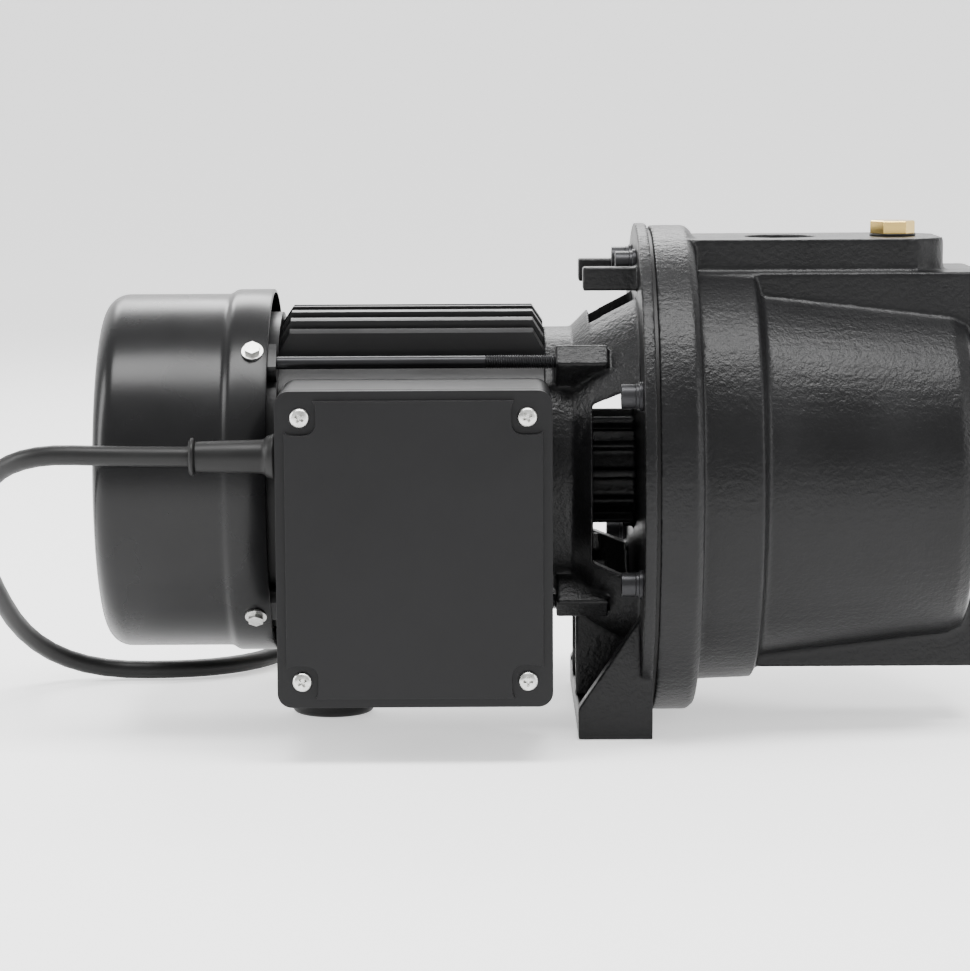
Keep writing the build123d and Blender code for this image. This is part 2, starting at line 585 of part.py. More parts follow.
# ================= pump =================
BACK_WALL = 145.0
TUBE_R = 25.0
with BuildPart() as pump_casing:
    turned(
        [
            (CASE_X, 0),
            (CASE_X, CASE_R),
            (CASE_X + 15, CASE_R),
            (CASE_X + CASE_RING, CASE_R - 2.5),
            (CASE_X + CASE_RING, 93),
            (61, 92),
            (63.5, 84),
            (CASE_END - 8, 75.5),
            (CASE_END - 2, 73),
            (CASE_END, 68),
            (CASE_END, 61),
            (CASE_END + 3, 60),
            (CASE_END + 3, 54),
            (CASE_END - 2, 53),
            (CASE_END - 2, 0),
        ]
    )
    # top spine, deck and lower keel
    block(CASE_X + 10, CASE_END + 7, -34, 34, AXIS_Z + 40, AXIS_Z + 87)
    with BuildSketch(Plane.XY.offset(AXIS_Z + 86)) as deck:
        with BuildLine():
            Polyline((125, -31), (CASE_X + 12, -31), (CASE_X + 12, 31), (125, 31))
            ThreePointArc((125, 31), (138.4, 25.4), (144, 12))
            Line((144, 12), (144, -12))
            ThreePointArc((144, -12), (138.4, -25.4), (125, -31))
        make_face()
    extrude(amount=DECK_Z - AXIS_Z - 86)
    block(63, CASE_END + 5.5, -30, 30, AXIS_Z - 84, AXIS_Z - 40)
    ring(CASE_END - 4, NOSE_END - 6, 30.0, 10.0)
    ring(NOSE_END - 14, NOSE_END, 27.5, 10.0)
    # pump chamber and water space
    turned(
        [
            (CASE_X, 0),
            (CASE_X, 84.5),
            (56, 84.5),
            (58, 77.5),
            (BACK_WALL, 68),
            (BACK_WALL, 0),
        ],
        Mode.SUBTRACT,
    )
    block(57, BACK_WALL, -26, 26, AXIS_Z + 50, AXIS_Z + 83, Mode.SUBTRACT)
    block(70, BACK_WALL, -23, 23, AXIS_Z - 74, AXIS_Z - 50, Mode.SUBTRACT)
    # suction tube inside
    ring(112, NOSE_END - 6, TUBE_R, 12.0)
    ring(110, NOSE_END + 1, 12.0, 0, Mode.SUBTRACT)
    ring(NOSE_END - 24, NOSE_END + 1, PORT_R, 0, Mode.SUBTRACT)
    # discharge and priming holes
    rod_z(AXIS_Z + 80, DECK_Z + 1, PORT_X, 0, PORT_R, Mode.SUBTRACT)
    rod_z(AXIS_Z + 80, DECK_Z + 1, PLUG_X, 0, 8.0 + THREAD_GAP, Mode.SUBTRACT)
    rod_x(BACK_WALL - 1, CASE_END + 6, 0, AXIS_Z - DRAIN_DROP, 6.0 + THREAD_GAP, Mode.SUBTRACT)
    for a in BOLT_ANGLES:
        y, z = at_angle(BOLT_CIRCLE, a)
        rod_x(CASE_X - 1, CASE_X + 13, y, z, BOLT_R, Mode.SUBTRACT)

with BuildPart() as priming_plug:
    with BuildSketch(Plane.XY.offset(DECK_Z + 1)) as hexagon:
        with Locations((PLUG_X, 0)):
            RegularPolygon(8.5, 6, major_radius=False)
    extrude(amount=5.7)
    chamfer(priming_plug.edges().group_by(Axis.Z)[-1], 0.6)
    rod_z(DECK_Z - 11, DECK_Z + 1, PLUG_X, 0, 8.0)
with BuildPart() as priming_washer:
    rod_z(DECK_Z, DECK_Z + 1, PLUG_X, 0, 10.0)
    rod_z(DECK_Z, DECK_Z + 1, PLUG_X, 0, 8.0 + THREAD_GAP, Mode.SUBTRACT)

DRAIN_X = CASE_END + 5.5
with BuildPart() as drain_plug:
    with BuildSketch(Plane.YZ.offset(DRAIN_X + 1)) as hexagon:
        with Locations((0, AXIS_Z - DRAIN_DROP)):
            RegularPolygon(7.0, 6, major_radius=False)
    extrude(amount=5.0)
    rod_x(DRAIN_X - 9, DRAIN_X + 1, 0, AXIS_Z - DRAIN_DROP, 6.0)
with BuildPart() as drain_washer:
    rod_x(DRAIN_X, DRAIN_X + 1, 0, AXIS_Z - DRAIN_DROP, 8.0)
    rod_x(DRAIN_X, DRAIN_X + 1, 0, AXIS_Z - DRAIN_DROP, 6.0 + THREAD_GAP, Mode.SUBTRACT)

with BuildPart() as seal_seat:
    ring(2, 8, 15.5, 9.5)
with BuildPart() as seal_rotating:
    ring(8.3, 12, 12.5, 8.0)
    ring(12, IMPELLER_X, 16.0, 8.0)
with BuildPart() as water_slinger:
    ring(-10, -7, 12.0, 8.0)

IMP_R = 72.0
EYE_R = 20.0
with BuildPart() as impeller:
    ring(IMPELLER_X, IMPELLER_X + 3, IMP_R, 8.0)
    ring(IMPELLER_X, NUT_X, 14.0, 8.0)
    for turn in range(6):
        with BuildSketch(SHAFT.offset(IMPELLER_X + 2)) as vane:
            with Locations(Location((0, 0, 0), (0, 0, 60 * turn))):
                with BuildLine():
                    ThreePointArc((22, 0), (49, 12), (62, 36))
                trace(line_width=2.6)
        extrude(amount=7.5)
    turned([(IMPELLER_X + 9, EYE_R - 2), (IMPELLER_X + 9, IMP_R), (IMPELLER_X + 11, IMP_R),
            (IMPELLER_X + 12, EYE_R), (IMPELLER_X + 17, EYE_R), (IMPELLER_X + 17, EYE_R - 2)])
    block(IMPELLER_X, NUT_X, -2.5, 2.5, AXIS_Z + 7, AXIS_Z + 11, Mode.SUBTRACT)
with BuildPart() as impeller_key:
    block(IMPELLER_X + 1, NUT_X, -2.5, 2.5, AXIS_Z + 5.5, AXIS_Z + 11)
with BuildPart() as impeller_nut:
    with BuildSketch(SHAFT.offset(NUT_X)) as hexagon:
        RegularPolygon(9.0, 6)
        Circle(5.0, mode=Mode.SUBTRACT)
    extrude(amount=8.0)

DIFF_X = IMPELLER_X + 13.5
with BuildPart() as diffuser:
    ring(DIFF_X, DIFF_X + 3, 84.5 - 0.1, EYE_R + RUN_GAP + 0.5)
    ring(DIFF_X, 62, EYE_R + 6, EYE_R + RUN_GAP + 0.5)
    ring(IMPELLER_X - 2, DIFF_X + 1, 84.4, 81.5)
    for turn in range(7):
        with BuildSketch(SHAFT.offset(DIFF_X + 2)) as vane:
            with Locations(Location((0, 0, 0), (0, 0, 51.43 * turn))):
                with BuildLine():
                    ThreePointArc((26, 0), (50, 10), (72, 34))
                trace(line_width=2.4)
        extrude(amount=14.0)

with BuildPart() as ejector_venturi:
    turned(
        [
            (50, 15.0),
            (50, EYE_R + RUN_GAP + 0.5),
            (62, EYE_R + RUN_GAP + 0.5),
            (66, 16.0),
            (110, 12.0),
            (116, 12.0),
            (116, 9.0),
            (108, 5.0),
            (96, 5.0),
        ]
    )
with BuildPart() as ejector_nozzle:
    turned([(119, 3.0), (119, 5.0), (132, 9.0), (132, 12.0), (146, 12.0), (146, 9.0), (134, 8.0)])
with BuildPart() as venturi_o_ring:
    ring(60, 62, EYE_R + 7.4, EYE_R + 6)

# ================= cord =================
TUBE_POINTS = [
    (BOX_LEFT + 3.4, CORD_Y, CORD_Z),
    (-192, CORD_Y, CORD_Z),
    (-258, CORD_Y + 4, CORD_Z + 1.5),
    (-279, -20, 78),
    (-262, 84, CORD_D / 2 + 0.2),
    (-172, 78, CORD_D / 2 + 0.2),
    (-139, 159.6, CORD_D / 2 + 0.2),
]
COIL = (-98.2, 143.1)
COIL_R = 44.0


def corner_radii(points):
    """Fillet radius of each corner: 0.45 of the shorter run over tan of half the turn."""
    radii = []
    for a, b, c in zip(points, points[1:], points[2:]):
        first = Vector(*b) - Vector(*a)
        second = Vector(*c) - Vector(*b)
        half = math.radians(first.get_angle(second)) / 2
        radii.append(0.45 * min(first.length, second.length) / math.tan(half))
    return radii


RADII = corner_radii(TUBE_POINTS)
with BuildPart() as cord:
    with BuildLine() as route:
        FilletPolyline(*TUBE_POINTS, radius=RADII)
    with BuildSketch(Plane(origin=TUBE_POINTS[0], z_dir=Vector(*TUBE_POINTS[1]) - TUBE_POINTS[0])):
        Circle(CORD_D / 2)
    sweep()
CORD_RUN = sum(edge.length for edge in route.edges())
print("cord radii", [round(r, 1) for r in RADII], "length", round(CORD_RUN, 1))
print("cord volume ratio", cord.part.volume / (math.pi * (CORD_D / 2) ** 2 * CORD_RUN))

COIL_Z = 0.2
with BuildPart() as cord_coil:
    with BuildSketch(Plane.XY.offset(COIL_Z)) as band:
        with Locations(COIL):
            Circle(COIL_R + CORD_D)
            Circle(COIL_R - CORD_D, mode=Mode.SUBTRACT)
    extrude(amount=2 * CORD_D)
    fillet(cord_coil.edges().filter_by(GeomType.CIRCLE), CORD_D / 2 - 0.3)

TIE_X = COIL[0]
TIE_Y = COIL[1] + COIL_R
with BuildPart() as cord_tie:
    block(TIE_X - 2, TIE_X + 2, TIE_Y - CORD_D - 1.2, TIE_Y + CORD_D + 1.2, 0, COIL_Z + 2 * CORD_D + 1.2)
    inside = (TIE_Y - CORD_D - 0.08, TIE_Y + CORD_D, COIL_Z, COIL_Z + 2 * CORD_D)
    block(TIE_X - 2, TIE_X + 2, *inside, Mode.SUBTRACT)

PLUG_Z = COIL_Z + 2 * CORD_D
PLUG_Y = COIL[1] - COIL_R
GRIP_X = COIL[0] - 35.0
with BuildPart() as plug_body:
    with BuildSketch(Plane.XY.offset(PLUG_Z)) as grip:
        with Locations((GRIP_X + 17, PLUG_Y)):
            RectangleRounded(34, 26, 6)
    extrude(amount=22)
    fillet(plug_body.edges().group_by(Axis.Z)[-1], 3)
    rod_x(GRIP_X + 34, GRIP_X + 58, PLUG_Y, PLUG_Z + 11, 6.0)
with BuildPart() as plug_blades:
    for side in (-1, 1):
        edge = PLUG_Y + side * 6.35
        block(GRIP_X - 18, GRIP_X, edge - 0.75, edge + 0.75, PLUG_Z + 11, PLUG_Z + 17)
    rod_x(GRIP_X - 21, GRIP_X, PLUG_Y, PLUG_Z + 5.5, 2.4)

# ================= export =================
os.makedirs("parts", exist_ok=True)
PIECES = {
    "motor_frame": motor_frame,
    "rear_shield": rear_shield,
    "stator_core": stator_core,
    "stator_windings": stator_windings,
    "rotor_core": rotor_core,
    "rotor_cage": rotor_cage,
    "motor_shaft": motor_shaft,
    "rear_bearing_outer": rear_bearing_outer,
    "front_bearing_outer": front_bearing_outer,
    "rear_bearing_inner": rear_bearing_inner,
    "front_bearing_inner": front_bearing_inner,
    "wave_washer": wave_washer,
    "cooling_fan": cooling_fan,
    "fan_clip": fan_clip,
    "fan_cover": fan_cover,
    "cover_screws": cover_screws,
    "tie_rods": tie_rods,
    "support_foot": support_foot,
    "support_foot_screw": support_foot_screw,
    "terminal_box": terminal_box,
    "box_gasket": box_gasket,
    "box_mount_screws": box_mount_screws,
    "lid_gasket": lid_gasket,
    "terminal_box_lid": terminal_box_lid,
    "lid_screws": lid_screws,
    "terminal_block": terminal_block,
    "terminal_screws": terminal_screws,
    "capacitor": capacitor,
    "capacitor_clamp": capacitor_clamp,
    "strain_relief": strain_relief,
    "gland_nut": gland_nut,
    "motor_bracket": motor_bracket,
    "flange_gasket": flange_gasket,
    "flange_screws": flange_screws,
    "flange_washers": flange_washers,
    "pump_casing": pump_casing,
    "priming_plug": priming_plug,
    "priming_washer": priming_washer,
    "drain_plug": drain_plug,
    "drain_washer": drain_washer,
    "seal_seat": seal_seat,
    "seal_rotating": seal_rotating,
    "water_slinger": water_slinger,
    "impeller": impeller,
    "impeller_key": impeller_key,
    "impeller_nut": impeller_nut,
    "diffuser": diffuser,
    "ejector_venturi": ejector_venturi,
    "ejector_nozzle": ejector_nozzle,
    "venturi_o_ring": venturi_o_ring,
    "cord": cord,
    "cord_coil": cord_coil,
    "cord_tie": cord_tie,
    "plug_body": plug_body,
    "plug_blades": plug_blades,
}
for label, piece in PIECES.items():
    piece.part.label = label
    export_step(piece.part, f"parts/{label}.step")
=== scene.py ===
import json
import math

import bmesh
import bpy
from mathutils import Matrix, Vector, noise


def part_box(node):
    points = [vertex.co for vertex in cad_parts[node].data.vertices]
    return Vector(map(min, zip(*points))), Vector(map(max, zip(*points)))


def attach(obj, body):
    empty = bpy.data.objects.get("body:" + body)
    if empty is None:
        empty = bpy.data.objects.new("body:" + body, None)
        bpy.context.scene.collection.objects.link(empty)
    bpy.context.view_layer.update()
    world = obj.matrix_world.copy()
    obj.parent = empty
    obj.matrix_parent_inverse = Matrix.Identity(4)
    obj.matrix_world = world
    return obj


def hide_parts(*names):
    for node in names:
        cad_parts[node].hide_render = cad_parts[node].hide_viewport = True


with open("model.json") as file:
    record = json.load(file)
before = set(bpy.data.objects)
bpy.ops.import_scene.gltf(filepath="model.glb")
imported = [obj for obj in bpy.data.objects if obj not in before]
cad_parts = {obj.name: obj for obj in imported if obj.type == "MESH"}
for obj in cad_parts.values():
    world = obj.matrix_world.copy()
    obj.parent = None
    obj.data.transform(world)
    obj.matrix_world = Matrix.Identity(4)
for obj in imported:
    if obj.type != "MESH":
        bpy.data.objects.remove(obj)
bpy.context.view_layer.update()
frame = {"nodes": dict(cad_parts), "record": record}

MM = 0.001
AXIS_Z = 0.108


def placed(name, data):
    """A new object with this data, in the scene."""
    thing = bpy.data.objects.new(name, data)
    bpy.context.collection.objects.link(thing)
    return thing


# ---------------------------------------------------------------- camera
EYE = (-0.0544, -1.444, 0.278)
PITCH = math.radians(7.02)
ROLL = math.radians(0.3)
camera_data = bpy.data.cameras.new("camera")
camera_data.lens = 122.7
camera_data.sensor_width = 36.0
camera = placed("camera", camera_data)
camera.matrix_world = (
    Matrix.Translation(EYE) @ Matrix.Rotation(math.pi / 2 - PITCH, 4, "X") @ Matrix.Rotation(-ROLL, 4, "Z")
)
bpy.context.scene.camera = camera


# ---------------------------------------------------------------- materials
def surface(
    name,
    color,
    rough=(0.35, 0.45),
    metallic=0.0,
    bumps=((400.0, 0.15, 0.0002),),
    vary=0.25,
    vary_scale=30.0,
    specular=0.24,
):
    """A procedural finish: mottled colour and roughness, and a bump for each (scale, strength, depth)."""
    m = bpy.data.materials.new(name)
    m.use_nodes = True
    nt = m.node_tree
    shader = nt.nodes["Principled BSDF"]
    shader.inputs["Metallic"].default_value = metallic
    shader.inputs["Specular IOR Level"].default_value = specular
    where = nt.nodes.new("ShaderNodeTexCoord")
    mottle = nt.nodes.new("ShaderNodeTexNoise")
    mottle.inputs["Scale"].default_value = vary_scale
    mottle.inputs["Detail"].default_value = 6.0
    nt.links.new(where.outputs["Object"], mottle.inputs["Vector"])
    tone = nt.nodes.new("ShaderNodeValToRGB")
    tone.color_ramp.elements[0].position = 0.3
    tone.color_ramp.elements[1].position = 0.72
    tone.color_ramp.elements[0].color = (*[c * (1 - vary) for c in color], 1)
    tone.color_ramp.elements[1].color = (*[min(1, c * (1 + vary)) for c in color], 1)
    nt.links.new(mottle.outputs["Fac"], tone.inputs["Fac"])
    nt.links.new(tone.outputs["Color"], shader.inputs["Base Color"])
    gloss = nt.nodes.new("ShaderNodeMapRange")
    gloss.inputs["From Min"].default_value = 0.3
    gloss.inputs["From Max"].default_value = 0.7
    gloss.inputs["To Min"].default_value = rough[0]
    gloss.inputs["To Max"].default_value = rough[1]
    nt.links.new(mottle.outputs["Fac"], gloss.inputs["Value"])
    nt.links.new(gloss.outputs["Result"], shader.inputs["Roughness"])
    last = None
    for scale, strength, depth in bumps:
        grain = nt.nodes.new("ShaderNodeTexNoise")
        grain.inputs["Scale"].default_value = scale
        grain.inputs["Detail"].default_value = 4.0
        nt.links.new(where.outputs["Object"], grain.inputs["Vector"])
        bump = nt.nodes.new("ShaderNodeBump")
        bump.inputs["Strength"].default_value = strength
        bump.inputs["Distance"].default_value = depth
        nt.links.new(grain.outputs["Fac"], bump.inputs["Height"])
        if last:
            nt.links.new(last.outputs["Normal"], bump.inputs["Normal"])
        last = bump
    if last:
        nt.links.new(last.outputs["Normal"], shader.inputs["Normal"])
    return m


BLACK = (0.006, 0.006, 0.0064)
MATERIALS = {
    "painted_iron": surface(
        "cast black paint", BLACK, (0.28, 0.38), specular=0.21,
        bumps=((560, 0.5, 0.0006), (1300, 0.4, 0.0003)),
    ),
    "painted_frame": surface(
        "frame black paint", BLACK, (0.3, 0.4), bumps=((500, 0.2, 0.0003),)
    ),
    "painted_sheet": surface(
        "sheet black paint", BLACK, (0.24, 0.3), bumps=((700, 0.08, 0.0002),)
    ),
    "zinc_steel": surface(
        "zinc plate", (0.62, 0.62, 0.6), (0.22, 0.4), metallic=1.0, specular=0.5,
        bumps=((900, 0.1, 0.0001),), vary_scale=300,
    ),
    "black_steel": surface(
        "black oxide steel", (0.03, 0.03, 0.032), (0.3, 0.42), metallic=0.6, bumps=((900, 0.1, 0.0001),)
    ),
    "steel": surface(
        "machined steel", (0.5, 0.5, 0.52), (0.25, 0.4), metallic=1.0, specular=0.5, vary_scale=200
    ),
    "bearing_steel": surface("bearing steel", (0.6, 0.6, 0.62), (0.12, 0.2), metallic=1.0, specular=0.5),
    "silicon_steel": surface("laminated steel", (0.3, 0.3, 0.32), (0.35, 0.5), metallic=1.0, specular=0.5),
    "aluminium": surface("cast aluminium", (0.7, 0.7, 0.72), (0.35, 0.5), metallic=1.0, specular=0.5),
    "copper": surface("enamelled copper", (0.5, 0.2, 0.09), (0.25, 0.4), metallic=0.9, vary_scale=400),
    "brass": surface(
        "brass", (0.82, 0.58, 0.2), (0.14, 0.26), metallic=1.0, specular=0.5,
        bumps=((700, 0.06, 0.0001),), vary=0.1,
    ),
    "black_plastic": surface(
        "satin black plastic", (0.008, 0.008, 0.0085), (0.34, 0.4), specular=0.18,
        bumps=((1400, 0.12, 0.0001),), vary=0.12,
    ),
    "noryl": surface("moulded plastic", (0.07, 0.07, 0.075), (0.4, 0.5)),
    "white_plastic": surface("white plastic", (0.75, 0.75, 0.73), (0.35, 0.45), vary=0.05),
    "rubber": surface(
        "black rubber", (0.008, 0.008, 0.008), (0.38, 0.5), bumps=((900, 0.15, 0.0001),), vary=0.2
    ),
    "ceramic": surface("lapped ceramic", (0.8, 0.78, 0.74), (0.12, 0.2), vary=0.04),
}
SLOT_OF = {s["node"]: s["material_slot"] for s in frame["record"]["subparts"]}
BODY_OF = {n: b for b, nodes in frame["record"]["behaviour"]["bodies"].items() for n in nodes}
for node, thing in frame["nodes"].items():
    thing.data.materials.clear()
    thing.data.materials.append(MATERIALS[SLOT_OF[node]])


# ---------------------------------------------------------------- helpers
def add(name, mesh, node):
    """A new piece in the place of a CAD node, with its body and finish."""
    thing = placed(name, mesh)
    mesh.materials.clear()
    mesh.materials.append(MATERIALS[SLOT_OF[node]])
    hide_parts(node)
    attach(thing, BODY_OF[node])
    return thing


def bake(thing):
    """The mesh with its modifiers applied."""
    bpy.context.view_layer.update()
    graph = bpy.context.evaluated_depsgraph_get()
    mesh = bpy.data.meshes.new_from_object(thing.evaluated_get(graph))
    thing.modifiers.clear()
    thing.data = mesh
    return mesh


def shade(mesh):
    """Smooth shading on every face."""
    mesh.polygons.foreach_set("use_smooth", [True] * len(mesh.polygons))


def carve(thing, cutter):
    """Cut the cutter out of the thing once it is baked."""
    cut = thing.modifiers.new("cut", "BOOLEAN")
    cut.operation = "DIFFERENCE"
    cut.solver = "EXACT"
    cut.object = cutter


def smooth(mesh, angle):
    """Smooth shading, with edges sharper than the angle kept sharp."""
    shade(mesh)
    mesh.set_sharp_from_angle(angle=math.radians(angle))


def cad_copy(node):
    """The CAD node's mesh with its flat faces joined."""
    mesh = frame["nodes"][node].data.copy()
    bm = bmesh.new()
    bm.from_mesh(mesh)
    bmesh.ops.remove_doubles(bm, verts=bm.verts, dist=1e-6)
    bmesh.ops.dissolve_limit(bm, angle_limit=math.radians(0.6), verts=bm.verts, edges=bm.edges)
    bm.to_mesh(mesh)
    bm.free()
    return mesh


def refined(node, width, segments=2, angle=32.0):
    """The CAD node with its sharp edges rounded."""
    thing = add("v_" + node, cad_copy(node), node)
    bevel = thing.modifiers.new("edges", "BEVEL")
    bevel.width = width
    bevel.segments = segments
    bevel.limit_method = "ANGLE"
    bevel.angle_limit = math.radians(angle)
    bevel.use_clamp_overlap = True
    shade(thing.data)
    flat = thing.modifiers.new("flat faces", "WEIGHTED_NORMAL")
    flat.mode = "FACE_AREA"
    flat.weight = 60
    bake(thing)


def cast(node, voxel, passes, rough):
    """The CAD node as a casting: soft edges, and a skin roughened by (scale per metre, height) layers."""
    thing = add("v_" + node, frame["nodes"][node].data.copy(), node)
    remesh = thing.modifiers.new("skin", "REMESH")
    remesh.mode = "VOXEL"
    remesh.voxel_size = voxel
    soft = thing.modifiers.new("soft", "SMOOTH")
    soft.iterations = passes
    soft.factor = 0.5
    mesh = bake(thing)
    places = [vertex.co.copy() for vertex in mesh.vertices]
    normals = [vertex.normal.copy() for vertex in mesh.vertices]
    moved = []
    for place, normal in zip(places, normals):
        height = sum(size * noise.noise(place * scale) for scale, size in rough)
        moved.extend(place + normal * height)
    mesh.vertices.foreach_set("co", moved)
    mesh.update()
    shade(mesh)


def grid_mesh(name, rows, closed=True):
    """A mesh through rows of points of equal length, each row a ring if closed."""
    mesh = bpy.data.meshes.new(name)
    count = len(rows[0])
    points = [p for row in rows for p in row]
    faces = []
    for i in range(len(rows) - 1):
        for j in range(count if closed else count - 1):
            k = (j + 1) % count
            faces.append((i * count + j, i * count + k, (i + 1) * count + k, (i + 1) * count + j))
    mesh.from_pydata(points, [], faces)
    mesh.update()
    return mesh


def lathe(name, profile, base=(0, 0, AXIS_Z), steps=96):
    """(along, radius) points turned about the X line through base."""
    rows = []
    for along, radius in profile:
        row = []
        for j in range(steps):
            a = math.tau * j / steps
            row.append(Vector((along, radius * math.cos(a), radius * math.sin(a))))
        rows.append(row)
    mesh = grid_mesh(name, rows)
    bm = bmesh.new()
    bm.from_mesh(mesh)
    bmesh.ops.remove_doubles(bm, verts=bm.verts, dist=1e-7)
    bmesh.ops.recalc_face_normals(bm, faces=bm.faces)
    bm.to_mesh(mesh)
    bm.free()
    mesh.transform(Matrix.Translation(base))
    return mesh


def thread(name, x0, x1, core, crest, pitch, base, turn=None, steps=28, per_turn=6):
    """A helical thread between two radii."""
    rows = []
    count = int((x1 - x0) / pitch * per_turn)
    for i in range(count + 1):
        along = x0 + (x1 - x0) * i / count
        row = []
        for j in range(steps):
            a = math.tau * j / steps
            phase = (along / pitch - j / steps) % 1.0
            radius = core + (crest - core) * (1 - abs(2 * phase - 1))
            row.append(Vector((along, radius * math.cos(a), radius * math.sin(a))))
        rows.append(row)
    mesh = grid_mesh(name, rows)
    mesh.transform(Matrix.Translation(base) @ (turn or Matrix.Identity(4)))
    shade(mesh)
    return mesh


# ---------------------------------------------------------------- cord
CORD_D = 0.0084
LIFT = CORD_D / 2 + 0.0002
TUBE = [
    (-0.152, -0.092, 0.124),
    (-0.192, -0.092, 0.124),
    (-0.258, -0.088, 0.1255),
    (-0.279, -0.020, 0.078),
    (-0.262, 0.084, LIFT),
    (-0.172, 0.078, LIFT),
    (-0.139, 0.1596, LIFT),
]
COIL = (-0.0982, 0.1431)
COIL_R = 0.044


def coil_points():
    """The turns that follow the tube: two side by side on the floor, then more on top of them."""
    start = math.atan2(TUBE[-1][1] - COIL[1], TUBE[-1][0] - COIL[0])
    per_turn = 16
    turns = 3.42
    shift_from = 0.8
    ease_in = 0.25
    half = CORD_D / 2
    levels = [(half, LIFT), (-half, LIFT), (-half, LIFT + CORD_D), (half, LIFT + CORD_D)]
    points = []
    for i in range(2, int(turns * per_turn)):
        turn = i / per_turn
        step = int(turn)
        now, nxt = levels[min(step, 3)], levels[min(step + 1, 3)]
        blend = min(1.0, max(0.0, (turn - step - shift_from) / (1 - shift_from)))
        blend = blend * blend * (3 - 2 * blend)
        out = now[0] + (nxt[0] - now[0]) * blend
        if turn < ease_in:
            out *= turn / ease_in
        z = now[1] + (nxt[1] - now[1]) * blend
        a = start - math.tau * turn
        radius = COIL_R + out
        points.append((COIL[0] + radius * math.cos(a), COIL[1] + radius * math.sin(a), z))
    return points


plug_low, plug_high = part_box("plug_body")
route = TUBE + coil_points()
PLUG_Z = plug_low[2] + 0.011
PLUG_Y = COIL[1] - COIL_R
last = Vector(route[-1])
boot = Vector((plug_high[0], PLUG_Y, PLUG_Z))
route += [
    tuple(last.lerp(boot, 0.45) + Vector((0.006, -0.001, -0.001))),
    tuple(boot + Vector((0.004, 0, 0))),
    tuple(boot + Vector((-0.02, 0, 0))),
]
curve = bpy.data.curves.new("power_cord", "CURVE")
curve.dimensions = "3D"
curve.resolution_u = 8
curve.bevel_depth = CORD_D / 2
curve.bevel_resolution = 6
curve.use_fill_caps = True
spline = curve.splines.new("NURBS")
spline.points.add(len(route) - 1)
for point, place in zip(spline.points, route):
    point.co = (*place, 1)
spline.order_u = 3
spline.use_endpoint_u = True
cord = placed("power_cord", curve)
curve.materials.append(MATERIALS["rubber"])
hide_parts("cord", "cord_coil")
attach(cord, "pump")

# ---------------------------------------------------------------- stage
stage_white = bpy.data.materials.new("stage")
stage_white.use_nodes = True
pale = stage_white.node_tree.nodes["Principled BSDF"].inputs
pale["Base Color"].default_value = (0.92, 0.92, 0.92, 1)
pale["Roughness"].default_value = 0.9
pale["Emission Color"].default_value = (1, 1, 1, 1)
pale["Emission Strength"].default_value = 0.8
# the floor runs back, curves up and becomes a wall
FLOOR_Z = -0.0003
FLOOR_FRONT, FLOOR_SIDE = -40.0, 9.0
SWEEP_AT, SWEEP_R, SWEEP_TOP, SWEEP_STEPS = 3.2, 1.6, 6.0, 12
sweep = [(FLOOR_FRONT, FLOOR_Z)]
for i in range(SWEEP_STEPS + 1):
    a = i * math.pi / (2 * SWEEP_STEPS)
    sweep.append((SWEEP_AT + SWEEP_R * math.sin(a), SWEEP_R - SWEEP_R * math.cos(a) + FLOOR_Z))
sweep.append((SWEEP_AT + SWEEP_R, SWEEP_TOP))
sides = [[Vector((x, y, z)) for y, z in sweep] for x in (-FLOOR_SIDE, FLOOR_SIDE)]
backdrop = grid_mesh("floor", sides, closed=False)
floor = placed("floor", backdrop)
shade(backdrop)
backdrop.materials.append(stage_white)

world = bpy.data.worlds.new("studio")
world.use_nodes = True
world.node_tree.nodes["Background"].inputs["Color"].default_value = (1, 1, 1, 1)
world.node_tree.nodes["Background"].inputs["Strength"].default_value = 0.8
bpy.context.scene.world = world


def lamp(name, place, size_x, size_y, watts):
    """A rectangular soft light that faces the middle of the pump."""
    data = bpy.data.lights.new(name, "AREA")
    data.energy = watts
    data.shape = "RECTANGLE"
    data.size = size_x
    data.size_y = size_y
    thing = placed(name, data)
    thing.location = place
    thing.rotation_euler = (Vector(MIDDLE) - Vector(place)).to_track_quat("-Z", "Y").to_euler()


MIDDLE = (-0.03, 0, 0.11)
lamp("top", (0.0, -0.38, 1.5), 1.5, 0.5, 42)
lamp("left", (-1.3, -0.15, 0.55), 0.35, 0.9, 12)
lamp("right", (1.35, -0.55, 0.6), 0.4, 0.9, 7)
lamp("back", (-0.2, 1.4, 1.2), 1.2, 0.5, 22)

# ---------------------------------------------------------------- plain pieces, edges rounded
for node, width in (
    ("motor_frame", 0.0006),
    ("rear_shield", 0.0006),
    ("terminal_box", 0.0008),
    ("flange_screws", 0.0004),
    ("flange_washers", 0.0002),
    ("priming_plug", 0.0003),
    ("priming_washer", 0.0002),
    ("drain_plug", 0.0003),
    ("support_foot", 0.0006),
    ("box_gasket", 0.0002),
    ("plug_body", 0.0015),
    ("plug_blades", 0.0003),
    ("cord_tie", 0.0003),
    ("cover_screws", 0.0003),
    ("cooling_fan", 0.0004),
    ("gland_nut", 0.0004),
):
    refined(node, width)


# ---------------------------------------------------------------- fan cover
low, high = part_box("fan_cover")
COVER_BACK, COVER_FRONT, LIP_R = low[0], high[0], high[2] - AXIS_Z
COVER_R = LIP_R - 0.002
SHEET = 0.0014
CORNER = 0.010
STEP = COVER_FRONT - 0.0165


def arc(cx, cy, radius, start, end, steps):
    """Points of an arc, angles in degrees."""
    return [
        (
            cx + radius * math.cos(math.radians(start + (end - start) * i / steps)),
            cy + radius * math.sin(math.radians(start + (end - start) * i / steps)),
        )
        for i in range(steps + 1)
    ]


